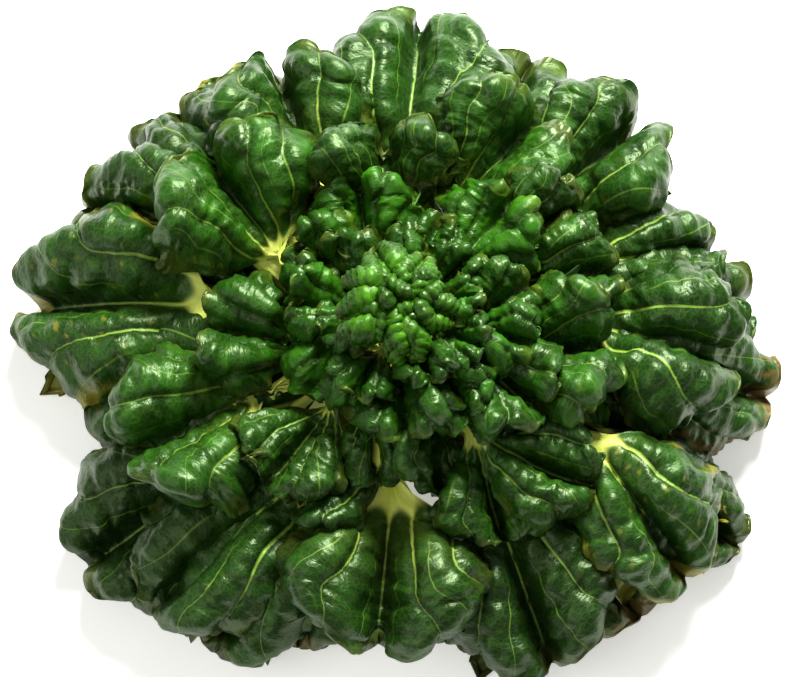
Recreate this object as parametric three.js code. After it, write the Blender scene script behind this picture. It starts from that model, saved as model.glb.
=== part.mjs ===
// A head of tatsoi, cut at the root: a flat rosette of spoon-shaped leaves on one short stem.
//
// Millimetres, +Z up. The origin is the centre of the stem's cut face, which rests on the table.
// Every leaf is one solid: a fleshy petiole that widens at its throat into a puffed blade, whose
// two halves rise as cushions on either side of a sunken midrib and fall again to the margin.
// The leaves are laid from the table up, oldest first, and each one drapes over those under it.
import * as THREE from "three";

// ---------------------------------------------------------------- driving dimensions

const PETIOLE_STATIONS = [0, 0.5]; // cross-sections along the petiole, as shares of its length
const BLADE_STATIONS = [0, 0.12, 0.3, 0.5, 0.7, 0.87, 1]; // and along the blade

const DOME_TOP = 46; // height that the tips would reach over the stem's axis
const DOME_FALL = 0.002; // fall of the tips' height with the square of their radius
const THROAT_TOP = 47; // height of a throat that stood on the axis
const THROAT_FALL = 0.42; // fall of a throat's height with its radius
const LOWEST_TIP = 4;

const BLADE_THICKNESS = 1.2; // between the veins
const FOOT_BULGE = 0.8; // how far the middle of a foot stands out towards the stem
const GAP = 0.7; // clear height kept between one leaf and the next
const FLOOR_GAP = 0.3;
const PILE_CELL = 0.5; // grid of the pile's height map
const PILE_REACH = 170;

// Leaves from the lowest to the highest. Each row: azimuth and radius of the throat, azimuth and
// radius of the midrib's tip, width of the blade, how far it is parted into two lobes (0 to 1),
// and how much wider its left half is than its right, as a share. Angles in degrees,
// counter-clockwise from +X seen from above, where left is the counter-clockwise side.
const OUTER_LEAVES = [
  [199, 33, 188, 127, 68, 0, 0],
  [253, 44, 251, 127, 50, 0, 0],
  [308, 46, 312, 143, 60, 0, 0],
  [334, 42, 338, 122, 60, 0, 0],
  [58, 42, 67, 134, 66, 0, 0],
  [126, 46, 122, 137, 56, 0, 0],
  [160, 44, 143, 139, 62, 0.2, 0],
  [137, 80, 133, 133, 60, 0, 0],
  [150, 84, 155, 140, 52, 0, 0],
  [14, 46, 8, 138, 66, 0.3, 0],
  [354, 90, 353.5, 148, 54, 0, 0],
  [21, 86, 18, 132, 50, 0.2, 0],
  [217, 88, 214, 152, 74, 0.2, 0.08],
  [238, 50, 239, 143, 62, 0, 0],
  [330, 86, 330, 155, 48, 0, 0],
  [89, 72, 87, 137, 80, 0.3, -0.05],
  [299, 74, 295, 140, 70, 0.4, 0.05],
  [235, 74, 227, 146, 62, 0, 0],
  [45, 84, 44, 131, 68, 1, 0],
  [2, 79, 356, 127, 72, 0.9, 0],
  [170, 80, 172.5, 150, 74, 0.5, 0],
  [117, 74, 114, 120.5, 67, 0.9, 0.05],
  [328, 90, 320, 145, 60, 0.5, 0.1],
  [267, 64, 266, 123, 84, 0.6, 0],
  [258, 54, 238, 84, 40, 0, 0],
];
const MIDDLE_LEAVES = [
  [250, 34, 262, 64, 32, 0, 0],
  [286, 36, 283, 68, 32, 0, 0],
  [203, 62, 204.5, 114, 73, 0.9, 0.05],
  [303, 54, 296, 93, 48, 0, 0],
  [306, 58, 320, 98, 47, 0, 0],
  [66, 65, 59, 100.5, 67.5, 1, 0],
  [145, 60, 138, 101, 78, 1, 0],
  [40, 52, 35, 87, 46, 0.2, 0],
  [24, 50, 17, 88, 48, 0, 0],
  [229, 43, 230, 83, 48, 0, 0],
  [95, 54, 95, 79, 62, 0.9, 0],
  [344, 44, 355, 80, 62, 0.7, 0],
  [332, 33, 327, 67, 48, 0, 0],
];
const INNER_LEAVES = [
  [186, 42, 179, 75, 54, 0.9, 0],
  [48, 36, 49, 66.5, 48.5, 0.4, 0],
  [112, 34, 106, 60, 46, 0.8, 0],
  [132, 28, 141, 55, 40, 0, 0],
  [2, 30, 17, 53, 40, 0, 0],
  [352, 28, 347, 53, 32, 0, 0],
  [305, 22, 303, 50, 36, 0, 0],
  [273, 20, 272, 49, 44, 0.3, 0],
  [200, 20, 218, 47, 40, 0, 0],
  [150, 22, 138, 45, 40, 0.3, 0],
  [72, 22, 70, 46, 32, 0, 0],
  [165, 18, 168, 43, 34, 0.4, 0],
  [240, 15, 242, 39, 30, 0, 0],
  [335, 15, 334, 36, 30, 0, 0],
  [45, 15, 42, 37, 28, 0, 0],
  [104, 14, 102, 35, 34, 0.6, 0],
  [306, 14, 290, 33, 28, 0, 0],
  [184, 14, 196, 32, 28, 0, 0],
  [20, 14, 12, 31, 24, 0, 0],
];

// What a leaf's ring settles: the places across a leaf where it is measured, as shares of its
// half width, where its petiole leaves the stem, how wide and thick the petiole is at its foot
// and neck, how far the blade arches over its own chord, how high its halves puff and how far
// its margin falls, as shares of the half width, and how far its sides tilt, in degrees.
const OUTER = {
  name: "outer_leaf",
  columns: [-1, -0.74, -0.38, 0, 0.38, 0.74, 1],
  foot: { radius: 15.4, height: 7 },
  petiole: { footWidth: 12, neckWidth: 10, footThickness: 5, neckThickness: 4 },
  arch: 5,
  puff: 0.19,
  edgeFall: 0.28,
  tilt: 4,
};
const MIDDLE = {
  name: "middle_leaf",
  columns: [-1, -0.74, -0.38, 0, 0.38, 0.74, 1],
  foot: { radius: 12.6, height: 20 },
  petiole: { footWidth: 9, neckWidth: 8, footThickness: 4, neckThickness: 3.4 },
  arch: 6,
  puff: 0.22,
  edgeFall: 0.3,
  tilt: 5,
};
const INNER = {
  name: "inner_leaf",
  columns: [-1, -0.52, 0, 0.52, 1],
  foot: { radius: 8.2, height: 33 },
  petiole: { footWidth: 5, neckWidth: 4.4, footThickness: 2.6, neckThickness: 2.4 },
  arch: 4,
  puff: 0.26,
  edgeFall: 0.26,
  tilt: 6,
};

// The stem's radius at each height, from the cut face up to its growing point.
const STEM_PROFILE = [
  [13, 0],
  [14, 1.5],
  [13.6, 10],
  [10.5, 15],
  [8, 24],
  [6, 32],
  [4.5, 42],
];
const STEM_SIDES = 24;

// The bud: the youngest leaves, still folded into one crinkled dome over the growing point.
const BUD_SEAT_RADII = [4, 7, 10, 13, 16];
const BUD_RADIUS = 18;
const BUD_HEIGHT = 9;
const BUD_LEVELS = 5;
const BUD_SIDES = 28;
const BUD_FOLDS = 7;
const BUD_FOLD_DEPTH = 0.09;

// ---------------------------------------------------------------- colours

const BLADE_GREEN = { outer: 0x1f4424, middle: 0x2c5a26, inner: 0x3f7a26, bud: 0x6c9a2e };
const STEM_CREAM = 0xd8dfa6;

function waxy(colour) {
  return new THREE.MeshStandardMaterial({ color: colour, roughness: 0.45, metalness: 0 });
}

// ---------------------------------------------------------------- outline of a blade

const { lerp, smoothstep, degToRad } = THREE.MathUtils;

function polar(azimuth, radius) {
  const angle = degToRad(azimuth);
  return new THREE.Vector2(radius * Math.cos(angle), radius * Math.sin(angle));
}

function leftOf(direction) {
  return new THREE.Vector2(-direction.y, direction.x);
}

// Half width of the blade at a share s of its length, as a share of its greatest: it opens from
// the throat, is widest past the middle and stays broad to the end, more so with two lobes.
function bladeSpread(s, lobing) {
  return Math.sin(Math.PI * (0.88 * s) ** 1.2) ** 0.6 + 0.3 * lobing * s ** 6;
}

// How far a place t across the blade's end lies past the midrib's tip, as a share of the blade's
// length: the sides fall back, and each lobe reaches on.
function endReach(t, lobing) {
  const lobe = 0.15 * lobing * Math.sin(Math.PI * Math.min(1, 1.1 * Math.abs(t))) ** 2;
  return lobe - (0.1 + 0.2 * lobing) * t * t;
}

// ---------------------------------------------------------------- the pile

// A height map of what has been laid so far.
const pileSide = Math.ceil((2 * PILE_REACH) / PILE_CELL);
const pile = new Float32Array(pileSide * pileSide).fill(FLOOR_GAP - GAP);

function pileIndex(x, y) {
  const column = Math.floor((x + PILE_REACH) / PILE_CELL);
  const row = Math.floor((y + PILE_REACH) / PILE_CELL);
  return row * pileSide + column;
}

// Calls visit(x, y, z) on a fine grid of points over one triangle.
function overTriangle([a, b, c], visit) {
  const longest = Math.max(a.distanceTo(b), b.distanceTo(c), c.distanceTo(a));
  const steps = Math.ceil((2 * longest) / PILE_CELL);
  for (let i = 0; i <= steps; i++)
    for (let j = 0; j <= steps - i; j++) {
      const u = i / steps;
      const v = j / steps;
      const w = 1 - u - v;
      const x = a.x * w + b.x * u + c.x * v;
      const y = a.y * w + b.y * u + c.y * v;
      const z = a.z * w + b.z * u + c.z * v;
      visit(x, y, z);
    }
}

function addToPile(triangle) {
  overTriangle(triangle, (x, y, z) => {
    const cell = pileIndex(x, y);
    pile[cell] = Math.max(pile[cell], z);
  });
}

// How far a triangle lies too low to clear the pile.
function shortfall(triangle) {
  let most = 0;
  overTriangle(triangle, (x, y, z) => {
    most = Math.max(most, pile[pileIndex(x, y)] + GAP - z);
  });
  return most;
}

// ---------------------------------------------------------------- one leaf

// The leaf as rows of {plan, top, bottom}, one for each column, from its foot to its tip.
function leafRows(ring, leaf, order) {
  const [throatAzimuth, throatRadius, tipAzimuth, tipRadius, width, lobing, uneven] = leaf;
  const { columns, foot, petiole } = ring;
  const footPlan = polar(throatAzimuth, foot.radius);
  const throatPlan = polar(throatAzimuth, throatRadius);
  const tipPlan = polar(tipAzimuth, tipRadius);
  const throatHeight = THROAT_TOP - THROAT_FALL * throatRadius;
  const tipHeight = Math.max(LOWEST_TIP, DOME_TOP - DOME_FALL * tipRadius ** 2);
  const bladeAxis = tipPlan.clone().sub(throatPlan);
  const bladeLength = bladeAxis.length();
  bladeAxis.normalize();
  const petioleSide = leftOf(throatPlan.clone().sub(footPlan).normalize());
  const bladeSide = leftOf(bladeAxis);
  const throatSide = petioleSide.clone().add(bladeSide).normalize();
  const sideSlope = Math.tan(degToRad(ring.tilt * Math.sin(2.4 * order)));
  const rows = [];

  for (const share of PETIOLE_STATIONS) {
    const middle = footPlan.clone().lerp(throatPlan, share);
    const height = lerp(foot.height, throatHeight, share ** 0.85);
    const halfWidth = lerp(petiole.footWidth, petiole.neckWidth, share) / 2;
    const thickness = lerp(petiole.footThickness, petiole.neckThickness, share);
    rows.push(
      columns.map((t) => {
        const plan = middle.clone().addScaledVector(petioleSide, t * halfWidth);
        const top = height - 0.15 * thickness * (1 - t * t);
        return { plan, top, bottom: top - thickness * (1 - Math.abs(t) ** 3) };
      }),
    );
  }

  for (const share of BLADE_STATIONS) {
    const widest = (width / 2) * bladeSpread(share, lobing);
    const halfWidth = Math.max(petiole.neckWidth / 2, widest);
    const side = throatSide.clone().lerp(bladeSide, Math.min(1, share * 4)).normalize();
    const chord = lerp(throatHeight, tipHeight, share ** 1.6);
    const ridge = chord + ring.arch * Math.sin(Math.PI * share ** 0.85);
    const cushion = ring.puff * (1 + 0.6 * lobing) * halfWidth * smoothstep(share, -0.1, 0.4);
    const margin = (ring.edgeFall * width) / 2;
    const ribThickness = lerp(petiole.neckThickness, BLADE_THICKNESS, share ** 0.6);
    rows.push(
      columns.map((t) => {
        const forward = bladeLength * (share + endReach(t, lobing) * share ** 2);
        const outwards = t * halfWidth * (1 + uneven * Math.sign(t));
        const plan = throatPlan.clone();
        plan.addScaledVector(bladeAxis, forward).addScaledVector(side, outwards);
        const raised = cushion * Math.sin(Math.PI * Math.abs(t)) ** 0.8;
        const fallen = margin * (t ** 4 * share ** 0.5 + 0.4 * share ** 8);
        const top = ridge + raised - fallen + sideSlope * outwards;
        const thickness = t === 0 ? ribThickness : BLADE_THICKNESS * (1 - t ** 4);
        return { plan, top, bottom: top - thickness };
      }),
    );
  }
  return rows;
}

// The closed surface through the rows: a ring of points round each row, one point that closes the
// foot, and a strip along the blade's end. Each point remembers the rows and columns that carry it.
function leafSurface(rows) {
  const points = [];
  const carriers = [];
  const edge = rows[0].length - 1;
  const ringSides = 2 * edge;
  const add = (plan, height, ...places) => {
    points.push(new THREE.Vector3(plan.x, plan.y, height));
    carriers.push(places);
  };
  rows.forEach((row, i) => {
    row.forEach(({ plan, top }, j) => add(plan, top, [i, j]));
    for (let j = edge - 1; j > 0; j--) add(row[j].plan, row[j].bottom, [i, j]);
  });
  const foot = points.length;
  const { plan, top, bottom } = rows[0][edge / 2];
  const inwards = leftOf(rows[0][edge].plan.clone().sub(rows[0][0].plan)).normalize();
  const footPlaces = rows[0].slice(1, edge).map((_, j) => [0, j + 1]);
  add(plan.clone().addScaledVector(inwards, FOOT_BULGE), (top + bottom) / 2, ...footPlaces);

  const at = (row, side) => row * ringSides + (side % ringSides);
  const areaFromAbove = (a, b, c) => {
    const [p, q, r] = [points[a], points[b], points[c]];
    return (q.x - p.x) * (r.y - p.y) - (q.y - p.y) * (r.x - p.x);
  };
  const upper = [];
  const lower = [];
  for (let i = 0; i < rows.length - 1; i++)
    for (let side = 0; side < ringSides; side++) {
      const [a, b, c, d] = [at(i, side), at(i + 1, side), at(i + 1, side + 1), at(i, side + 1)];
      // Both skins fold along the same diagonal, the one that doesn't double over at a notched tip,
      // so that they never cross where a blade is thin.
      const onTop = side < edge;
      const faces = onTop ? upper : lower;
      const straight = areaFromAbove(a, b, c) * areaFromAbove(a, c, d) > 0;
      const crossed = areaFromAbove(a, b, d) * areaFromAbove(b, c, d) > 0;
      if (onTop ? straight || !crossed : straight && !crossed) faces.push([a, b, c], [a, c, d]);
      else faces.push([a, b, d], [b, c, d]);
    }
  for (let side = 0; side < ringSides; side++) {
    const faces = side < edge ? upper : lower;
    faces.push([foot, at(0, side), at(0, side + 1)]);
  }
  const last = rows.length - 1;
  for (let j = 0; j < edge; j++) {
    const [a, b, c, d] = [at(last, j), at(last, j + 1), at(last, 2 * edge - j - 1), at(last, 2 * edge - j)];
    if (j > 0) lower.push([b, a, d]);
    if (j < edge - 1) lower.push([b, d, c]);
  }
  return { points, carriers, upper, lower };
}

function grid(rows) {
  return rows.map((row) => row.map(() => 0));
}

// Shares each rise with its neighbours, so that the leaf drapes instead of creasing.
function eased(rise) {
  return rise.map((row, i) =>
    row.map((value, j) => {
      const before = rise[Math.max(0, i - 1)][j];
      const after = rise[Math.min(rise.length - 1, i + 1)][j];
      const right = row[Math.max(0, j - 1)];
      const left = row[Math.min(row.length - 1, j + 1)];
      return Math.max(value, 0.46 * (before + after), 0.46 * (left + right));
    }),
  );
}

// Raises the rows until the leaf's underside clears the pile.
function drape(rows) {
  for (let round = 0; round < 5; round++) {
    const { points, carriers, lower } = leafSurface(rows);
    let rise = grid(rows);
    for (const face of lower) {
      const short = shortfall(face.map((index) => points[index]));
      for (const index of face)
        for (const [i, j] of carriers[index]) rise[i][j] = Math.max(rise[i][j], short);
    }
    if (rise.flat().every((value) => value <= 0)) return;
    for (let pass = 0; pass < 3; pass++) rise = eased(rise);
    rows.forEach((row, i) =>
      row.forEach((point, j) => {
        point.top += rise[i][j];
        point.bottom += rise[i][j];
      }),
    );
  }
}

function leafGeometry(ring, leaf, order) {
  const rows = leafRows(ring, leaf, order);
  drape(rows);
  const { points, upper, lower } = leafSurface(rows);
  for (const face of upper) addToPile(face.map((index) => points[index]));
  const geometry = new THREE.BufferGeometry().setFromPoints(points);
  geometry.setIndex([...upper, ...lower].flat());
  geometry.computeVertexNormals();
  return geometry;
}

// ---------------------------------------------------------------- stem and bud

function stemGeometry() {
  const growingPoint = STEM_PROFILE.at(-1)[1] + 1;
  const profile = [[0, 0], ...STEM_PROFILE, [0, growingPoint]];
  return new THREE.LatheGeometry(
    profile.map(([radius, height]) => new THREE.Vector2(radius, height)),
    STEM_SIDES,
  ).rotateX(Math.PI / 2);
}

// The lowest height at which something over the band between two radii clears the pile.
function seatOver(inner, outer) {
  let seat = STEM_PROFILE.at(-1)[1] + 1 + GAP;
  for (let x = -outer; x <= outer; x += PILE_CELL / 2)
    for (let y = -outer; y <= outer; y += PILE_CELL / 2) {
      const radius = Math.hypot(x, y);
      if (radius >= inner && radius <= outer) seat = Math.max(seat, pile[pileIndex(x, y)] + GAP);
    }
  return seat;
}

// Under the dome the bud narrows to the growing point, between the leaves that stand round it.
function budGeometry() {
  const radii = [0, ...BUD_SEAT_RADII, BUD_RADIUS * (1 + BUD_FOLD_DEPTH) + 1];
  const profile = radii
    .slice(0, -1)
    .map((radius, i) => new THREE.Vector2(radius, seatOver(radii[Math.max(0, i - 1)], radii[i + 1])));
  const shoulder = profile.at(-1).y;
  for (let level = 0; level <= BUD_LEVELS; level++) {
    const angle = (Math.PI / 2) * (level / BUD_LEVELS);
    const radius = level === BUD_LEVELS ? 0 : BUD_RADIUS * Math.cos(angle);
    profile.push(new THREE.Vector2(radius, shoulder + 0.6 + BUD_HEIGHT * Math.sin(angle)));
  }
  const geometry = new THREE.LatheGeometry(profile, BUD_SIDES).rotateX(Math.PI / 2);
  const position = geometry.attributes.position;
  for (let i = 0; i < position.count; i++) {
    const x = position.getX(i);
    const y = position.getY(i);
    const z = position.getZ(i);
    if (z <= shoulder) continue;
    const fold = Math.cos(BUD_FOLDS * Math.atan2(y, x) + 0.6 * (z - shoulder));
    const grow = 1 + BUD_FOLD_DEPTH * fold;
    position.setXYZ(i, x * grow, y * grow, z);
  }
  geometry.computeVertexNormals();
  return geometry;
}

// ---------------------------------------------------------------- the head

const head = new THREE.Group();

function addPart(name, geometry, material) {
  const mesh = new THREE.Mesh(geometry, material);
  mesh.name = name;
  head.add(mesh);
}

addPart("crown_stem", stemGeometry(), waxy(STEM_CREAM));

const rings = [
  [OUTER, OUTER_LEAVES, BLADE_GREEN.outer],
  [MIDDLE, MIDDLE_LEAVES, BLADE_GREEN.middle],
  [INNER, INNER_LEAVES, BLADE_GREEN.inner],
];
for (const [ring, leaves, green] of rings)
  leaves.forEach((leaf, index) => {
    const name = `${ring.name}_${String(index + 1).padStart(2, "0")}`;
    addPart(name, leafGeometry(ring, leaf, head.children.length), waxy(green));
  });

addPart("heart_bud", budGeometry(), waxy(BLADE_GREEN.bud));

export default head;
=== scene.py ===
# %% [markdown]
# # A head of tatsoi
# Tatsoi is a flat rosette of dark, glossy, spoon-shaped leaves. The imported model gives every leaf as
# a coarse solid in its right place; this lesson turns each of them into a living leaf, with puffed
# tissue between sunken veins, and gives it a waxy, moist skin. Start by loading the model.

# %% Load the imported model
import bpy
import numpy as np
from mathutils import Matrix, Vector


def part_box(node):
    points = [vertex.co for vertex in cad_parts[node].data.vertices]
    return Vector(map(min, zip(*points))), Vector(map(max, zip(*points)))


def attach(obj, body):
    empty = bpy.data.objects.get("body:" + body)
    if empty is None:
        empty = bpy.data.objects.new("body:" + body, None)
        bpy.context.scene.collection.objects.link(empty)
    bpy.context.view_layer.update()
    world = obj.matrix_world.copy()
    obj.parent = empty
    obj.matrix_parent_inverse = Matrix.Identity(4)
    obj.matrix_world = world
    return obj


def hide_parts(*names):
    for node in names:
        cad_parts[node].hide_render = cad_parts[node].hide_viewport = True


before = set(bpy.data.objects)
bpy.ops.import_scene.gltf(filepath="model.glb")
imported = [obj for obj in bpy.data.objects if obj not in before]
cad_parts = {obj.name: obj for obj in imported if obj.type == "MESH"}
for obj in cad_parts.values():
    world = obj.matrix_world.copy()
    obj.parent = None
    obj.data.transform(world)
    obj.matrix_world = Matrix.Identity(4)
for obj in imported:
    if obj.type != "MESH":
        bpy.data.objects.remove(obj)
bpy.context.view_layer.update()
leaf_names = sorted(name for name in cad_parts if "leaf" in name)

# %% [markdown]
# ## Reading a leaf back as rows and columns
# A leaf solid is a loft: rings of points from its foot to its tip, with one point closing the foot.
# A detailed leaf could be sculpted over it, but a loft already holds what is needed. Counting rings
# away from the foot gives the rows; in each ring, the points that stand over one another share a
# column. What comes out is a small table of heights and thicknesses that can be made smooth.

# %% Rings of a loft
COLUMNS = {7: [-1, -0.74, -0.38, 0, 0.38, 0.74, 1], 5: [-1, -0.52, 0, 0.52, 1]}
THROAT_ROW = 2


def corners_and_faces(solid):
    """The solid's distinct corners and its triangles. Corners are the same if they agree to a micron."""
    mesh = solid.data
    points = np.empty(len(mesh.vertices) * 3)
    mesh.vertices.foreach_get("co", points)
    corners = np.empty(len(mesh.loops), int)
    mesh.loops.foreach_get("vertex_index", corners)
    points, same = np.unique(np.round(points.reshape(-1, 3), 6), axis=0, return_inverse=True)
    return points, same.reshape(-1)[corners].reshape(-1, 3)


def ring_numbers(points, faces):
    """Steps along edges from the foot's end point, which is the busiest corner nearest the axis."""
    linked = np.zeros((len(points), len(points)), bool)
    linked[faces, np.roll(faces, 1, axis=1)] = True
    linked |= linked.T
    busy = linked.sum(1) == linked.sum(1).max()
    away = np.hypot(points[:, 0], points[:, 1]) + 9.0 * ~busy
    steps = np.where(np.arange(len(points)) == away.argmin(), 0, -1)
    for step in range(1, 40):
        reached = (steps < 0) & linked[steps == step - 1].any(0)
        steps[reached] = step
    return steps


def leaf_table(solid):
    """Upper surface (rows, columns, 3) and thickness (rows, columns) of a leaf solid, left side last."""
    points, faces = corners_and_faces(solid)
    steps = ring_numbers(points, faces)
    rows = [points[steps == step] for step in range(1, steps.max() + 1)]
    centres = np.array([row.mean(0) for row in rows])
    ahead = np.gradient(centres, axis=0)
    top, thick = [], []
    for row, forward in zip(rows, ahead):
        plan, column = np.unique(row[:, :2], axis=0, return_inverse=True)
        column = column.reshape(-1)
        high = np.full(len(plan), -9.0)
        low = np.full(len(plan), 9.0)
        np.maximum.at(high, column, row[:, 2])
        np.minimum.at(low, column, row[:, 2])
        left = np.array([-forward[1], forward[0]])
        order = np.argsort(plan @ left)
        top.append(np.column_stack([plan, high])[order])
        thick.append((high - low)[order])
    return np.array(top), np.array(thick)


tables = {name: leaf_table(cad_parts[name]) for name in leaf_names}
print("rows and columns of outer_leaf_16:", tables["outer_leaf_16"][0].shape[:2])

# %% [markdown]
# ## From a coarse table to a living leaf
# The tissue of a savoyed leaf grows faster than its veins, so it buckles up between them, and no two
# leaves buckle alike. A noise texture could displace them, but it would know nothing of the leaf.
# These few helpers are enough: a smooth curve through the table's rows, slow random waves, an S curve
# for fading one thing into another, and vectors of length one.

# %% Smooth curves and slow waves
MM = 0.001


def smooth_through(x, y, places):
    """Cubic pieces through y at x, along the first axis, with each knot's slope from its neighbours."""
    slope = np.gradient(y, x, axis=0)
    i = np.clip(np.searchsorted(x, places, side="right") - 1, 0, len(x) - 2)
    tail = (1,) * (y.ndim - 1)
    step = (x[i + 1] - x[i]).reshape(-1, *tail)
    u = ((places - x[i]) / (x[i + 1] - x[i])).reshape(-1, *tail)
    return (
        (1 + 2 * u) * (1 - u) ** 2 * y[i] + u * (1 - u) ** 2 * step * slope[i]
        + u * u * (3 - 2 * u) * y[i + 1] + u * u * (u - 1) * step * slope[i + 1]
    )


def waves(a, b, size, rng, count=9):
    """A slow random surface between about -1 and 1: a sum of sines, each `size` long, in all directions."""
    turn = rng.uniform(0, np.pi, count)
    pace = 2 * np.pi / (size * rng.uniform(0.7, 1.5, count))
    start = rng.uniform(0, 2 * np.pi, count)
    crossing = a[..., None] * np.cos(turn) + b[..., None] * np.sin(turn)
    return np.sin(crossing * pace + start).sum(-1) / np.sqrt(count * 1.4)


def smoothstep(low, high, x):
    """0 below low, 1 above high, and an S between."""
    u = np.clip((x - low) / (high - low), 0, 1)
    return u * u * (3 - 2 * u)


def unit(vectors):
    """Vectors divided by their length."""
    return vectors / np.maximum(np.linalg.norm(vectors, axis=-1, keepdims=True), 1e-12)


print("halfway up the S curve:", smoothstep(0, 1, 0.5))


# %% [markdown]
# ## The veins as a fan
# In tatsoi the side veins all leave the midrib close to the throat and spread like the ribs of a
# fan, bending forwards. Each could be drawn as a curve, but a leaf has twenty of them and every one
# also shapes the tissue beside it. So one number is worked out for every place: the angle seen from
# just behind the throat, counted in veins. It is whole on a vein and a half on the crest between.

# %% Vein fan
FAN_ROOT = 0.12  # how far behind the throat the veins would meet, in leaf lengths


def vein_fan(ahead, aside, length, style, rng):
    """Vein count, vein spacing in mm and reach of each place, from its distance ahead and aside.

    The angle is the arctangent of aside over (ahead + FAN_ROOT x length), the reach its distance from
    that point in leaf lengths. Count is angle / pitch, where the pitch narrows with the reach, and
    spacing is pitch x reach x length. A slow wave keeps the veins from being straight. In leaves
    that are still folded the veins cross the blade like rungs: count is (ahead - 0.45 x aside) / rung.
    """
    base = np.maximum(ahead + FAN_ROOT * length, 0.5)
    reach = np.hypot(base, aside) / length
    angle = np.arctan2(aside, base)
    pitch = np.radians(style["pitch"]) * np.where(aside > 0, 1.0, 1.13) / (1 + 0.3 * (reach - 0.5))
    wander = 0.16 * waves(ahead, aside, 0.5 * length, rng) * reach * np.minimum(np.abs(angle) / 0.3, 1)
    if style["rung"]:
        count = (ahead - 0.45 * np.abs(aside)) / style["rung"] + 1.5 * wander
        return count, np.full(count.shape, style["rung"] * 2.5), reach
    return angle / pitch + wander, pitch * reach * length, reach


print("the fan starts", FAN_ROOT, "leaf lengths behind the throat")


# %% [markdown]
# ## Relief of the blade
# Between two veins the tissue stands up as a row of pillows; over a vein it sinks to a narrow
# groove. The two halves of the whole blade are puffed as well, with the midrib in a valley. Sculpting
# would do it by hand; here each of these is a term in millimetres, and the terms are simply added.

# %% Relief in millimetres
WIDEST_QUILT = 15  # mm between two veins, past which the tissue between them stands no higher
print("the quilt grows until its veins are", WIDEST_QUILT, "mm apart")


def relief_of(s, t, ahead, aside, half, blade, fan, style, rng):
    """Height over the smooth blade: quilt + forks + grooves + puckers + puff - cleft.

    Quilt is sin(pi x count) to the 0.7, higher where pillows crest along the vein, and scales with
    the spacing up to WIDEST_QUILT. Grooves are bell curves round whole counts, and round half counts far
    out, where veins fork. Puff is sin(pi x share of the half's width).
    """
    count, spacing, reach = fan
    off = np.abs(count - np.round(count)) * spacing
    off_fork = 0.5 * spacing - off
    crest = np.abs(np.sin(np.pi * count)) ** 0.7
    pillow = np.abs(np.sin(np.pi * (reach * half.max() * 2 / style["cell"] + 0.37 * np.floor(count)))) ** 0.6
    wide = np.minimum(spacing / WIDEST_QUILT, 1)
    forked = smoothstep(0.5, 0.8, reach) * wide
    edge_out = smoothstep(1.2, 0.8, np.abs(t))
    quilt = style["quilt"] * (crest * (1 + style["pillows"] * (pillow - 1)) - 0.5) * wide * edge_out
    grooves = style["groove"] * np.minimum(spacing / 7, 1) * (
        np.exp(-((off / style["groove_width"]) ** 2))
        + 0.6 * forked * np.exp(-((off_fork / style["groove_width"]) ** 2))
    )
    pucker = waves(ahead, aside, style["pucker_size"], rng, 12)
    pucker += 0.5 * waves(ahead, aside, style["pucker_size"] * 0.45, rng, 14)
    puff = style["puff"] * half * np.sin(np.pi * np.clip(np.abs(t), 0, 1)) ** 0.75 * smoothstep(-0.1, 0.4, s)
    cleft = style["cleft"] * np.exp(-((t / 0.17) ** 2)) * smoothstep(0.25, 0.7, s) * (1 - 0.5 * s ** 8)
    return blade * (quilt - grooves + style["pucker"] * pucker + puff - cleft)


# %% [markdown]
# ## One whole leaf
# A blade ends in a soft rounded margin that rolls under, so its edge never looks like cut paper. The
# surface is made as a grid: the smooth table, the relief along its own upward direction, scallops
# at the margin, and last a quarter-turn and more of roll beyond it. The under side is the same grid
# set down by the thickness, which grows over the midrib and along the petiole.

# %% One leaf as arrays
RIM_ROWS, RIM_COLUMNS = 5, 4  # rows and columns of the grid that the rolled margin takes
CORNER_BACK, CORNER_IN = 0.12, 0.14  # how far the tip's corners are drawn in: shares of length and half width
THINNEST = 0.45  # mm from the upper side of a blade to its under side
LOWEST_TOP, LOWEST_UNDER = 0.9, 0.3  # mm above the table, the least for each side
print("the margin's roll takes", RIM_ROWS, "rows and", RIM_COLUMNS, "columns on each side")


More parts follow.
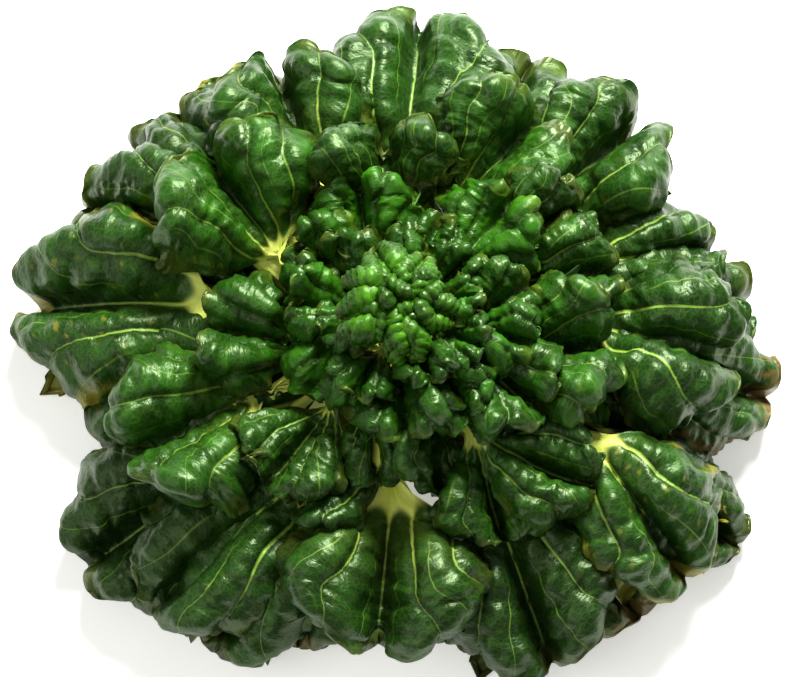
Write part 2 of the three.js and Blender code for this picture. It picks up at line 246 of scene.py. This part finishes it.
def leaf_surface(top, thick, style, rng, rows, columns):
    """Upper and under grids of a leaf, and what its skin needs to know at each point.

    Corners of the tip are drawn in with t^4 x s^6, and the midrib's end with a bell curve of t times
    s^10, which notches it. Beyond the margin the surface goes outwards by radius x sin(angle) and
    down by radius x (1 - cos(angle)).
    """
    t_knots = np.array(COLUMNS[top.shape[1]], float)
    middle = top[:, top.shape[1] // 2]
    run = np.concatenate([[0], np.cumsum(np.linalg.norm(np.diff(middle, axis=0), axis=1))])
    throat, end = run[THROAT_ROW], run[-1]
    length = (end - throat) / MM
    foot_rows = max(5, int(rows * 0.16))
    along = np.concatenate([
        np.linspace(0, throat, foot_rows, endpoint=False),
        np.linspace(throat, end, rows - foot_rows - RIM_ROWS),
        np.full(RIM_ROWS, end),
    ])
    past_end = np.concatenate([np.zeros(rows - RIM_ROWS), np.arange(1, RIM_ROWS + 1) / RIM_ROWS])
    side_roll = np.arange(1, RIM_COLUMNS + 1) / RIM_COLUMNS
    flat = columns - 2 * RIM_COLUMNS
    across = np.concatenate([-np.ones(RIM_COLUMNS), np.linspace(-1, 1, flat), np.ones(RIM_COLUMNS)])
    past_side = np.concatenate([side_roll[::-1], np.zeros(flat), side_roll])

    def fine(table):
        halfway = smooth_through(run, table, along)
        return np.swapaxes(smooth_through(t_knots, np.swapaxes(halfway, 0, 1), across), 0, 1)

    place = fine(top)
    body = np.maximum(fine(thick), 0)
    s = np.clip((along - throat) / MM / length, 0, 1)[:, None] + 0 * across
    t = across + 0 * s
    blade = smoothstep(-0.02, 0.16, (along - throat)[:, None] / MM / length + 0 * across)
    half = (np.linalg.norm(place[:, -1] - place[:, 0], axis=1)[:, None] / 2 / MM) + 0 * t
    ahead = (along - throat)[:, None] / MM + 0 * t
    aside = t * half

    forward = unit(np.gradient(place[:, columns // 2], axis=0))[:, None] + 0 * place
    sideways = unit(place[:, -1] - place[:, 0])[:, None] + 0 * place
    up = unit(np.cross(np.gradient(place, axis=0), np.gradient(place, axis=1) + 1e-9))
    up[:, :RIM_COLUMNS] = up[:, RIM_COLUMNS + 1][:, None]
    up[:, columns - RIM_COLUMNS:] = up[:, columns - RIM_COLUMNS - 2][:, None]
    up[rows - RIM_ROWS:] = up[rows - RIM_ROWS - 2]
    up = np.where(up[..., 2:] < 0, -up, up)

    fan = vein_fan(ahead, aside, length, style, rng)
    count, spacing, reach = fan
    flare = style["flare"] * half * t * np.exp(-((ahead / length / 0.2) ** 2))
    place = place + sideways * (flare * MM)[..., None]
    corner = t ** 4 * s ** 6
    notch = np.exp(-((t / 0.26) ** 2)) * s ** 10
    place = place - forward * ((CORNER_BACK * corner + style["notch"] * notch) * length * MM)[..., None]
    place = place - sideways * (np.sign(t) * CORNER_IN * half * corner * MM)[..., None]
    margin = np.maximum(smoothstep(0.55, 1, np.abs(t)), smoothstep(0.8, 1, s)) * blade
    crest = np.abs(np.sin(np.pi * count)) * np.minimum(spacing / 12, 1)
    to_side = np.sign(t) * np.abs(t) ** 3
    outwards = unit(forward * (s ** 5)[..., None] + sideways * to_side[..., None] + 1e-9)
    scallop = style["scallop"] * (crest - 0.6) + 0.4 * style["scallop"] * waves(ahead, aside, 14, rng)
    place = place + outwards * (scallop * margin * MM)[..., None]
    ruffle = style["ruffle"] * waves(ahead, aside, style["pucker_size"] * 1.9, rng) * margin
    relief = relief_of(s, t, ahead, aside, half, blade, fan, style, rng) + ruffle
    place = place + up * (relief * MM)[..., None]

    roll_s, roll_t = past_end[:, None] + 0 * t, past_side + 0 * s
    angle = style["roll_angle"] * np.minimum(np.hypot(roll_s, roll_t), 1.15)
    radius = (0.4 + (style["roll_radius"] - 0.4) * blade) * MM
    away = unit(forward * roll_s[..., None] + sideways * (np.sign(t) * roll_t)[..., None] + 1e-12)
    place = place + away * (radius * np.sin(angle))[..., None]
    place = place - up * (radius * (1 - np.cos(angle)))[..., None]

    under_rib = 0.8 * np.max(thick[-4]) / MM * np.exp(-((aside / 2.2) ** 2)) * blade * (1 - 0.7 * s)
    depth = np.maximum(THINNEST, under_rib) * MM + body * (1 - blade)
    below = place - up * depth[..., None]
    place[..., 2] = np.maximum(place[..., 2], LOWEST_TOP * MM)
    below[..., 2] = np.maximum(below[..., 2], LOWEST_UNDER * MM)
    near = smoothstep(1.1, 0.15, reach)
    inland = blade * smoothstep(1.05, 0.6, np.abs(t)) * (1 - 0.85 * smoothstep(0.85, 1, s))
    facts = {
        "vein_count": count,
        "vein_spacing": spacing,
        "vein_width": 0.15 + 0.3 * near * length / 60,
        "vein_show": inland * (0.4 + 0.6 * near) * style["paleness"],
        "fork_show": inland * smoothstep(0.45, 0.7, reach) * 0.4 * style["paleness"],
        "reach": reach,
        "edge": np.maximum(np.abs(t) ** 3, s ** 6) * blade,
        "leaf_mm": np.stack([ahead, aside, 0 * ahead], -1),
    }
    return place, below, facts


# %% [markdown]
# ## Closing the skin
# A leaf is a closed body with a top, an under side and a margin. A Solidify modifier could thicken
# one sheet, but then both sides would be equally dense. The under side is hardly seen, so it takes
# every second point only, and a strip of triangles joins the two.

# %% Close a leaf
def closed_leaf(place, below, facts):
    """One closed skin: the upper grid, every second point of the under grid, and a strip that joins them."""
    rows, columns = place.shape[:2]
    upper = np.arange(rows * columns).reshape(rows, columns)
    low_rows, low_columns = below[::2, ::2].shape[:2]
    lower = upper.size + np.arange(low_rows * low_columns).reshape(low_rows, low_columns)

    def sheet(grid):
        quads = [grid[:-1, :-1], grid[1:, :-1], grid[1:, 1:], grid[:-1, 1:]]
        return np.stack([corner.ravel() for corner in quads], -1)

    def rim(grid):
        return np.concatenate([grid[:-1, 0], grid[-1, :-1], grid[:0:-1, -1], grid[0, :0:-1]])

    high, low = rim(upper), rim(lower)
    first, second, third = high[0::2], high[1::2], np.roll(high, -2)[0::2]
    here, there = low, np.roll(low, -1)
    strip = np.concatenate([
        np.stack([first, here, second], -1),
        np.stack([second, here, there], -1),
        np.stack([second, there, third], -1),
    ])
    points = np.concatenate([place.reshape(-1, 3), below[::2, ::2].reshape(-1, 3)])
    both = {
        key: np.concatenate([value.reshape(upper.size, -1), value[::2, ::2].reshape(lower.size, -1)])
        for key, value in facts.items()
    }
    return points, sheet(upper)[:, ::-1], sheet(lower), strip, both


SAMPLE = np.zeros((5, 5, 3))
print("a grid of 5 x 5 closes with", len(closed_leaf(SAMPLE, SAMPLE, {})[0]), "points")


# %% [markdown]
# ## From arrays to an object
# Blender meshes are lists of points, polygons and the corners that join them. Adding them one by one
# in Python takes minutes; `foreach_set` copies a whole array at once. The facts go with the points as
# attributes, so that the shader can read them.

# %% Put arrays into a mesh
def mesh_piece(name, points, polygons, facts):
    """A mesh object from an array of points, a list of polygon arrays and a table of point values."""
    mesh = bpy.data.meshes.new(name)
    corners = np.concatenate([group.ravel() for group in polygons])
    sizes = np.concatenate([np.full(len(group), group.shape[1]) for group in polygons])
    mesh.vertices.add(len(points))
    mesh.vertices.foreach_set("co", points.astype(np.float32).ravel())
    mesh.loops.add(len(corners))
    mesh.loops.foreach_set("vertex_index", corners.astype(np.int32))
    mesh.polygons.add(len(sizes))
    mesh.polygons.foreach_set("loop_start", (np.cumsum(sizes) - sizes).astype(np.int32))
    mesh.update(calc_edges=True)
    mesh.polygons.foreach_set("use_smooth", np.ones(len(sizes), bool))
    for key, value in facts.items():
        vector = value.shape[1] == 3
        layer = mesh.attributes.new(key, "FLOAT_VECTOR" if vector else "FLOAT", "POINT")
        layer.data.foreach_set("vector" if vector else "value", value.astype(np.float32).ravel())
    mesh.validate()
    piece = bpy.data.objects.new(name, mesh)
    bpy.context.scene.collection.objects.link(piece)
    return piece


# %% [markdown]
# ## What changes from the oldest leaves to the heart
# Old leaves are broad, dark and gently quilted, with few veins far apart. Young ones are packed, so
# their veins stand closer and the tissue between them rises in sharp ridges. One table of sizes for
# each ring says so: pitch is the angle between two veins in degrees, lengths are millimetres, and
# puff is a share of the half blade's width.

# %% Styles of the rings
STYLES = {
    "outer": dict(pitch=21, cell=14, groove=1.0, groove_width=1.0, quilt=2.9, pillows=0.5, rung=0, pucker=0.7,
                  pucker_size=10, puff=0.15, scallop=1.5, ruffle=1.3, cleft=3.6, notch=0.11,
                  flare=0.6, roll_radius=4.0, roll_angle=2.2, paleness=1.0),
    "middle": dict(pitch=19, cell=11, groove=1.0, groove_width=0.9, quilt=3.0, pillows=0.4, rung=0,
                   pucker=0.6, pucker_size=8, puff=0.15, scallop=1.4, ruffle=1.2, cleft=3.2, notch=0.11,
                   flare=0.3, roll_radius=4.0, roll_angle=2.3, paleness=0.7),
    "inner": dict(pitch=19, cell=9, groove=1.3, groove_width=0.9, quilt=3.6, pillows=0.15, rung=0, pucker=0.5,
                  pucker_size=6, puff=0.12, scallop=1.2, ruffle=1.2, cleft=1.5, notch=0.07,
                  flare=0.1, roll_radius=2.8, roll_angle=2.5, paleness=0.15),
}
GRID = {"outer": (93, 77), "middle": (93, 77), "inner": (77, 61)}
print("rings:", {ring: style["pitch"] for ring, style in STYLES.items()}, "degrees between veins")

# %% [markdown]
# ## Colours and one helper for shader nodes
# Colours are picked as the hex codes that a screen shows, but a shader mixes light, so each is turned
# linear first. Wiring nodes by hand takes four lines a node. This one function adds a node of any
# kind, sets its fields, and for each input either makes a link or sets the value.

# %% Colours and nodes
def srgb(code):
    """A hex colour as linear red, green, blue and alpha."""
    parts = np.array([int(code[i:i + 2], 16) / 255 for i in (1, 3, 5)])
    linear = np.where(parts <= 0.04045, parts / 12.92, ((parts + 0.055) / 1.055) ** 2.4)
    return (*linear.tolist(), 1.0)


def node(tree, kind, inputs, out=0, **fields):
    """Adds a node, sets its fields, links or sets its inputs by name or number, and gives one output."""
    made = tree.nodes.new(kind)
    for key, value in fields.items():
        setattr(made, key, value)
    for key, value in inputs.items():
        if isinstance(value, bpy.types.NodeSocket):
            tree.links.new(value, made.inputs[key])
        else:
            made.inputs[key].default_value = value
    return made.outputs[out] if len(made.outputs) else made


def new_material(name):
    """An empty material and its node tree."""
    material = bpy.data.materials.new(name)
    material.use_nodes = True
    material.node_tree.nodes.clear()
    return material, material.node_tree


MATH, RANGE, MIX, FACT = "ShaderNodeMath", "ShaderNodeMapRange", "ShaderNodeMix", "ShaderNodeAttribute"
print("dark leaf green in linear light:", np.round(srgb("#12300c"), 4).tolist())

# %% [markdown]
# ## The skin of a leaf
# A living leaf is green tissue under a clear wax. Its veins carry little chlorophyll, so they are
# pale, widest and yellowest at the throat, and thin out until they sink into the green. An image
# could be painted for this, but the vein count already tells the shader how far each place is from
# a vein, so the lines stay crisp at any size. Finer still, a net of veinlets and a grain of cells
# only roughen the wax, which breaks the shine of the window into short streaks.

# %% Leaf skin
def leaf_skin(name, deep, fresh, vein, petiole, net):
    """Waxy leaf: two greens that vary slowly, pale veins over them, a pale stalk, a broken gloss."""
    material, tree = new_material(name)
    fact = {
        key: node(tree, FACT, {}, 2, attribute_name=key)
        for key in ("vein_count", "vein_spacing", "vein_width", "vein_show", "fork_show", "pale",
                    "stalk", "tone_and_shade", "yellow", "brown")
    }
    leaf_mm = node(tree, FACT, {}, 1, attribute_name="leaf_mm")
    # how far from the nearest vein and the nearest fork, in vein widths
    off = node(tree, MATH, {0: fact["vein_count"], 1: 0.5}, operation="PINGPONG")
    off_fork = node(tree, MATH, {0: 0.5, 1: off}, operation="SUBTRACT")
    widths = node(tree, MATH, {0: fact["vein_spacing"], 1: fact["vein_width"]}, operation="DIVIDE")
    off = node(tree, MATH, {0: off, 1: widths}, operation="MULTIPLY")
    off_fork = node(tree, MATH, {0: off_fork, 1: widths}, operation="MULTIPLY")
    on_vein = node(tree, RANGE, {0: off, 1: 0.4, 2: 1.5, 3: fact["vein_show"], 4: 0.0},
                   interpolation_type="SMOOTHSTEP")
    on_fork = node(tree, RANGE, {0: off_fork, 1: 0.2, 2: 1.2, 3: fact["fork_show"], 4: 0.0},
                   interpolation_type="SMOOTHSTEP")
    on_vein = node(tree, MATH, {0: on_vein, 1: on_fork}, operation="MAXIMUM")
    # the greens, in mm on the leaf: mottling about 11 mm wide, a grain of 0.9 mm, and a net of
    # veinlets whose meshes are 1 / net wide, 1 to 1.7 mm
    mottle = node(tree, "ShaderNodeTexNoise", {"Vector": leaf_mm, "Scale": 0.09, "Detail": 4.0})
    grain = node(tree, "ShaderNodeTexNoise", {"Vector": leaf_mm, "Scale": 1.1, "Detail": 3.0})
    cells = node(tree, "ShaderNodeTexVoronoi", {"Vector": leaf_mm, "Scale": net}, feature="DISTANCE_TO_EDGE")
    on_net = node(tree, RANGE, {0: cells, 1: 0.0, 2: 0.12, 3: 0.07, 4: 0.0})
    fresher = node(tree, RANGE, {0: mottle, 1: 0.35, 2: 0.7, 3: 0.0, 4: 1.0})
    # tone carries painted shade: lower in the vein grooves and on leaves that lie under others
    fresher = node(tree, MATH, {0: fresher, 1: fact["tone_and_shade"]}, operation="MULTIPLY")
    green = node(tree, MIX, {0: fresher, 6: srgb(deep), 7: srgb(fresh)}, 2, data_type="RGBA")
    green = node(tree, MIX, {0: on_net, 6: green, 7: srgb(vein)}, 2, data_type="RGBA")
    # the throat's fan, the veins and the stalk, each paler than the one before
    lines = node(tree, MIX, {0: fact["pale"], 6: srgb(vein), 7: srgb(petiole)}, 2, data_type="RGBA")
    washed = node(tree, MATH, {0: fact["pale"], 1: 0.12}, operation="MULTIPLY")
    green = node(tree, MIX, {0: washed, 6: green, 7: srgb(vein)}, 2, data_type="RGBA")
    green = node(tree, MIX, {0: on_vein, 6: green, 7: lines}, 2, data_type="RGBA")
    stalk = node(tree, MIX, {0: fact["pale"], 6: srgb(petiole), 7: srgb("#e4ec70")}, 2, data_type="RGBA")
    green = node(tree, MIX, {0: fact["stalk"], 6: green, 7: stalk}, 2, data_type="RGBA")
    # age: yellow where chlorophyll has gone, brown where the tissue is dead
    green = node(tree, MIX, {0: fact["yellow"], 6: green, 7: srgb("#b9a93a")}, 2, data_type="RGBA")
    colour = node(tree, MIX, {0: fact["brown"], 6: green, 7: srgb("#6b5530")}, 2, data_type="RGBA")
    height = node(tree, MATH, {0: cells, 1: grain}, operation="ADD")
    bump = node(tree, "ShaderNodeBump", {"Strength": 0.5, "Distance": 0.0004, "Height": height})
    gloss = node(tree, RANGE, {0: mottle, 1: 0.3, 2: 0.7, 3: 0.28, 4: 0.45})
    skin = node(tree, "ShaderNodeBsdfPrincipled", {
        "Base Color": colour, "Roughness": gloss, "Specular IOR Level": 0.42,
        "Specular Tint": srgb("#d4f2b4"), "Normal": bump,
    })
    node(tree, "ShaderNodeOutputMaterial", {"Surface": skin})
    return material


SKINS = {
    # thick dark green of the oldest leaves, with dull yellow-green ribs
    "outer": leaf_skin("waxy_old_leaf", "#092206", "#1e4d09", "#7d9f3a", "#bfcd58", 0.6),
    # the same, a little warmer
    "middle": leaf_skin("waxy_grown_leaf", "#0a2505", "#235808", "#7fa434", "#a3b340", 0.65),
    # thinner leaves of a livelier green
    "inner": leaf_skin("waxy_young_leaf", "#092603", "#2f7005", "#6f982b", "#748a26", 0.8),
    # folded leaves that have seen little light: yellow-green
    "heart": leaf_skin("waxy_heart_leaf", "#0a2402", "#468a08", "#6c9122", "#4c6612", 1.0),
}
print("skins:", ", ".join(skin.name for skin in SKINS.values()))

# %% [markdown]
# ## Every leaf has had its own life
# A head is cut, handled and rinsed: one old leaf has a yellow margin and some have rubbed brown spots.
# Leaves that lie under others are painted darker, as painted shade. Randomness alone would not put
# these where they are, so a short table names the leaves that differ and by how much, all between 0 and 1:
# tone is how fresh the green is, kept low on shaded leaves as painted shade, pale how far the light fan
# reaches out of the throat.

# %% Marks of age and painted shade
LIVES = {
    "outer_leaf_24": dict(pale=1.0, tone_and_shade=0.55), "outer_leaf_22": dict(pale=0.95, tone_and_shade=0.8),
    "outer_leaf_16": dict(pale=0.45, tone_and_shade=0.8), "outer_leaf_19": dict(pale=0.5, tone_and_shade=0.8),
    "outer_leaf_21": dict(pale=0.5, tone_and_shade=0.7, yellow=0.35), "outer_leaf_23": dict(pale=0.5, yellow=0.35),
    "outer_leaf_06": dict(pale=0.3, yellow=0.6), "outer_leaf_11": dict(pale=0.4, brown=0.8),
    "outer_leaf_02": dict(pale=0.2, tone_and_shade=0.2, brown=0.5), "outer_leaf_03": dict(pale=0.2, brown=0.7),
    # painted shade: the low tones of outer leaves 13, 08, 17 and 04 darken leaves that lie under others
    "outer_leaf_13": dict(pale=0.35, tone_and_shade=0.1), "outer_leaf_08": dict(pale=0.3, tone_and_shade=0.1),
    "outer_leaf_17": dict(pale=0.5, tone_and_shade=0.15), "outer_leaf_04": dict(pale=0.2, tone_and_shade=0.1),
    "middle_leaf_03": dict(pale=0.8, tone_and_shade=0.8), "middle_leaf_12": dict(pale=0.75, tone_and_shade=0.9),
    "middle_leaf_07": dict(pale=0.6, tone_and_shade=0.9), "middle_leaf_06": dict(pale=0.5, tone_and_shade=0.8),
    "inner_leaf_01": dict(pale=0.4, tone_and_shade=0.3),
}


def life_of(name, facts, rng):
    """Adds tone, stalk, pale, yellow and brown to a leaf's facts: table values times masks of waves.

    The stalk's colour ends sooner between two veins than on them, so it frays into teeth.
    """
    life = LIVES.get(name, {})
    ahead, aside = facts["leaf_mm"][..., 0], facts["leaf_mm"][..., 1]
    patches = waves(ahead, aside, 17, rng) * 0.5 + 0.5
    spots = waves(ahead, aside, 4.5, rng, 14)
    pale = life.get("pale", rng.uniform(0.15, 0.5))
    ridge = np.abs(np.sin(np.pi * facts["vein_count"]))
    # painted shade: tone falls to 0.3 of its value in the vein grooves and stays full on the crests between
    # them
    facts["tone_and_shade"] = life.get("tone_and_shade", rng.uniform(0.3, 0.8)) * (0.3 + 0.7 * ridge)
    green_from = facts["reach"] * (1 + 0.45 * ridge)
    facts["stalk"] = 1 - smoothstep(0.15 + 0.08 * pale, 0.21 + 0.12 * pale, green_from)
    facts["pale"] = pale * smoothstep(0.75 * pale + 0.15, 0.08, facts["reach"] * (0.9 + 0.2 * patches))
    facts["yellow"] = life.get("yellow", 0.05) * np.maximum(
        smoothstep(0.55, 0.95, facts["edge"] + 0.3 * (patches - 0.5)) * smoothstep(0.3, 0.6, patches),
        0.6 * smoothstep(1.0, 1.5, spots),
    )
    facts["brown"] = life.get("brown", 0.0) * smoothstep(0.5, 0.9, facts["edge"] + 0.35 * spots - 0.1)
    return facts


print(len(LIVES), "leaves have a life of their own in the table")


# %% [markdown]
# ## Growing all the leaves
# Now every leaf solid is read, made smooth, creased, skinned and put in its place. The leaf piece
# replaces its solid and rides the same body, so that whoever moves the part moves the leaf.

# %% Every leaf
def grow(pieces, name, material, stands_for):
    """One object from leaves given as (place, below, facts): their skins closed and joined in one mesh."""
    closed, offset = [], 0
    for place, below, facts in pieces:
        points, upper, lower, strip, both = closed_leaf(place, below, facts)
        closed.append((points, upper + offset, lower + offset, strip + offset, both))
        offset += len(points)
    made = mesh_piece(
        name,
        np.concatenate([one[0] for one in closed]),
        [np.concatenate([one[part] for one in closed]) for part in (1, 2, 3)],
        {key: np.concatenate([one[4][key] for one in closed]) for key in closed[0][4]},
    )
    made.data.materials.append(material)
    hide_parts(stands_for)
    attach(made, "root")
    return made


for number, name in enumerate(leaf_names):
    ring = name.split("_")[0]
    rng = np.random.default_rng(100 + number)
    place, below, facts = leaf_surface(*tables[name], STYLES[ring], rng, *GRID[ring])
    one_leaf = [(place, below, life_of(name, facts, rng))]
    grow(one_leaf, name.replace("leaf", "blade"), SKINS[ring], name)
print(len(leaf_names), "leaves grown")

# %% [markdown]
# ## The heart
# The youngest leaves are still folded over the growing point. Each is the same small table of
# points, bent over its own crest and set round the axis by the golden angle of 137.5 degrees, the
# way a shoot sets them. They lean and turn a little at random, since they press on one another.

# %% Curled leaves of the heart
def heart_table(turn, radius, height, size, rng):
    """Table of one small leaf: a bent midrib from low by the axis, over a crest, to a tip further out."""
    share = np.array([0, 0.1, 0.22, 0.34, 0.48, 0.62, 0.76, 0.9, 1.0])
    base = np.array([max(0.4, radius - 0.9 * size), height - 1.25 * size])
    crest = np.array([radius - 0.35 * size, height + 0.9 * size])
    tip = np.array([radius + 0.5 * size, height - rng.uniform(0.1, 0.5) * size])
    u = share[:, None]
    spine = (1 - u) ** 2 * base + 2 * u * (1 - u) * crest + u * u * tip
    half = np.maximum(0.8, 0.66 * size * np.sin(np.pi * (0.88 * share) ** 1.2) ** 0.6)
    t = np.array(COLUMNS[5])
    lift = half[:, None] * (0.3 * np.sin(np.pi * np.abs(t)) - 0.35 * t ** 2)
    facing = turn + rng.uniform(-0.5, 0.5)
    out = np.array([np.cos(turn), np.sin(turn)])
    left = np.array([-np.sin(facing), np.cos(facing)])
    plan = spine[:, 0, None, None] * out + (half[:, None] * t)[..., None] * left
    lean = rng.uniform(-0.35, 0.35) * half[:, None] * t
    top = np.concatenate([plan, (spine[:, 1, None] + lift + lean)[..., None]], -1) * MM
    return top, np.full(top.shape[:2], 0.5) * MM


bud_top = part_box("heart_bud")[1][2] / MM
HEART_LEAVES = 16
GOLDEN_ANGLE = 137.5  # degrees from each leaf to the next
HEART_STYLE = dict(STYLES["inner"], rung=2.9, paleness=0.0, groove=0.7, groove_width=0.5, quilt=1.6,
                   pucker=0.25, pucker_size=4, puff=0.26, scallop=0.7, ruffle=0.8, cleft=1.2,
                   roll_radius=1.2, roll_angle=2.5)
curls = []
for k in range(HEART_LEAVES):
    rng = np.random.default_rng(500 + k)
    radius = 1.0 + 15.5 * np.sqrt(k / HEART_LEAVES)
    height = bud_top - 5.5 - 8 * (radius / 17) ** 2 + rng.uniform(-1.2, 1.2)
    size = (8 + 0.45 * radius) * rng.uniform(0.75, 1.3)
    table = heart_table(np.radians(GOLDEN_ANGLE * k) + rng.uniform(-0.3, 0.3), radius, height, size, rng)
    place, below, facts = leaf_surface(*table, HEART_STYLE, rng, 45, 35)
    curls.append((place, below, life_of("heart", facts, rng)))
heart = grow(curls, "heart_curls", SKINS["heart"], "heart_bud")
print("heart of", HEART_LEAVES, "leaves,", len(heart.data.polygons), "faces")

# %% [markdown]
# ## The cut stem
# All petioles meet on a stem as short as a thumb's end. It is pale and fleshy, ringed with the scars
# of leaves that were stripped, and its cut face is moist with a darker ring where the wood begins.
# A plain cylinder would do for size; turning the solid's own outline with small waves in the radius
# gives the scars.

# %% Turn the stem
stem_points = corners_and_faces(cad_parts["crown_stem"])[0]
outline = np.unique(np.round(np.column_stack([
    np.hypot(stem_points[:, 0], stem_points[:, 1]), stem_points[:, 2]]), 5), axis=0)
levels = np.unique(outline[:, 1])
radii = np.array([outline[outline[:, 1] == level, 0].max() for level in levels])
LEVELS, TURNS = 60, 144
z = np.linspace(levels[0], levels[-1], LEVELS)
turn = np.linspace(0, 2 * np.pi, TURNS, endpoint=False)
rng = np.random.default_rng(9)
height_mm, turned = z[:, None] / MM + 0 * turn, 0 * z[:, None] + turn
scars = 0.35 * np.sin(height_mm * 1.5 + 1.3 * np.sin(turned * 3) + 0.6 * np.sin(turned * 5 + 1))
fade = smoothstep(0, 1.5, height_mm) * smoothstep(levels[-1] / MM, levels[-1] / MM - 1.5, height_mm)
shrink = 0.4 + 0.15 * np.sin(turned * 7 + height_mm * 0.4)
radius = np.interp(z, levels, radii)[:, None] + (scars - shrink) * fade * MM
wall = np.stack([radius * np.cos(turn), radius * np.sin(turn), height_mm * MM], -1).reshape(-1, 3)
caps = np.array([[0, 0, levels[0]], [0, 0, levels[-1]]])
grid = np.arange(LEVELS * TURNS).reshape(LEVELS, TURNS)
after = np.roll(grid, -1, axis=1)
sides = np.stack([grid[:-1], after[:-1], after[1:], grid[1:]], -1).reshape(-1, 4)
under = np.stack([after[0], grid[0], np.full(TURNS, grid.size)], -1)
over = np.stack([grid[-1], after[-1], np.full(TURNS, grid.size + 1)], -1)
stem = mesh_piece("turned_stem", np.concatenate([wall, caps]), [sides, under, over], {})
print("stem", np.round(radii.max() * 2000, 1), "mm across,", len(stem.data.polygons), "faces")

# %% [markdown]
# ## Flesh of the stem
# Brassica stems are cream outside, greener upwards, and on the cut a ring of wood shows darker
# round a moist pale pith. The ring is drawn by the distance from the axis, in the object's own
# coordinates, and the skin takes streaks along the height.

# %% Stem material
# fibrous and moist: fine upright streaks, and a gloss that changes from fibre to fibre
flesh, tree = new_material("moist_cut_stem")
own = node(tree, "ShaderNodeTexCoord", {}, 3)
flatten = node(tree, "ShaderNodeMapping", {0: own, 3: (1, 1, 0)})
from_axis = node(tree, "ShaderNodeVectorMath", {0: flatten}, 1, operation="LENGTH")
ring_in = node(tree, RANGE, {0: from_axis, 1: 0.0078, 2: 0.0092, 3: 0.0, 4: 1.0})
ring_out = node(tree, RANGE, {0: from_axis, 1: 0.0098, 2: 0.0116, 3: 1.0, 4: 0.0})
wood = node(tree, MATH, {0: ring_in, 1: ring_out}, operation="MULTIPLY")
streaks = node(tree, "ShaderNodeMapping", {0: own, 3: (900, 900, 150)})
fibre = node(tree, "ShaderNodeTexNoise", {"Vector": streaks, "Scale": 1.0, "Detail": 4.0})
skin = node(tree, MIX, {0: fibre, 6: srgb("#e2e2b4"), 7: srgb("#a9b26a")}, 2, data_type="RGBA")
skin = node(tree, MIX, {0: wood, 6: skin, 7: srgb("#b49a58")}, 2, data_type="RGBA")
bump = node(tree, "ShaderNodeBump", {"Strength": 0.4, "Distance": 0.0004, "Height": fibre})
moist = node(tree, RANGE, {0: fibre, 1: 0.3, 2: 0.7, 3: 0.25, 4: 0.5})
surface = node(tree, "ShaderNodeBsdfPrincipled", {"Base Color": skin, "Roughness": moist, "Normal": bump})
node(tree, "ShaderNodeOutputMaterial", {"Surface": surface})
stem.data.materials.append(flesh)
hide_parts("crown_stem")
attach(stem, "root")
print("stem material:", flesh.name)

# %% [markdown]
# ## A pale table
# The head lies on plain white board. A board that is lit only by lamps would turn grey under the
# broad leaves, so it also gives off a little light of its own, as paper does in a light tent.

# %% Floor
corners = np.array([[-3, -3, 0], [3, -3, 0], [3, 3, 0], [-3, 3, 0]], float)
floor = mesh_piece("floor", corners, [np.array([[0, 1, 2, 3]])], {})
# matt painted board: no shine, so that only soft shadows show on it
board, tree = new_material("white_board")
matt = node(tree, "ShaderNodeBsdfPrincipled", {
    "Base Color": srgb("#fbfbf6"), "Roughness": 0.9,
    "Emission Color": srgb("#fffffb"), "Emission Strength": 0.42,
})
node(tree, "ShaderNodeOutputMaterial", {"Surface": matt})
floor.data.materials.append(board)
print("floor placed at z = 0")

# %% [markdown]
# ## Soft window light
# The shine on a waxy leaf is the picture of whatever lights it, so a broad window makes soft
# patches and a bare lamp would make hard dots. One window stands behind the head, and a large weak
# panel on the other side keeps the hollows from going black.

# %% Lights
def area_light(name, place, size, power):
    """A square soft light at place, facing the head."""
    data = bpy.data.lights.new(name, "AREA")
    data.size, data.energy = size, power
    lamp = bpy.data.objects.new(name, data)
    lamp.location = place
    toward = Vector((0, 0, 0.03)) - Vector(place)
    lamp.rotation_euler = toward.to_track_quat("-Z", "Y").to_euler()
    bpy.context.scene.collection.objects.link(lamp)


area_light("window", (0.2, 0.8, 0.8), 0.45, 48)
area_light("panel", (-0.9, -0.5, 1.1), 1.2, 8)
world = bpy.data.worlds.new("room")
bpy.context.scene.world = world
world.use_nodes = True
world.node_tree.nodes["Background"].inputs[0].default_value = (1, 1, 1, 1)
world.node_tree.nodes["Background"].inputs[1].default_value = 0.32
print("two lights and a white room")

# %% [markdown]
# ## Camera
# A rosette shows itself from above. The camera stands 76 degrees up, far away with a long lens, so
# that the near leaves are not swollen by perspective.

# %% Camera
ELEVATION = np.radians(76)
DISTANCE = 2.2
aim = np.array([0, 0.0091, 0.0023])
camera_data = bpy.data.cameras.new("camera")
camera_data.lens = 36 * DISTANCE / 0.32
camera = bpy.data.objects.new("camera", camera_data)
camera.location = aim + DISTANCE * np.array([0, -np.cos(ELEVATION), np.sin(ELEVATION)])
camera.rotation_euler = (np.pi / 2 - ELEVATION, 0, 0)
bpy.context.scene.collection.objects.link(camera)
bpy.context.scene.camera = camera
bpy.context.scene.view_settings.view_transform = "Standard"
print("camera", DISTANCE, "m away")
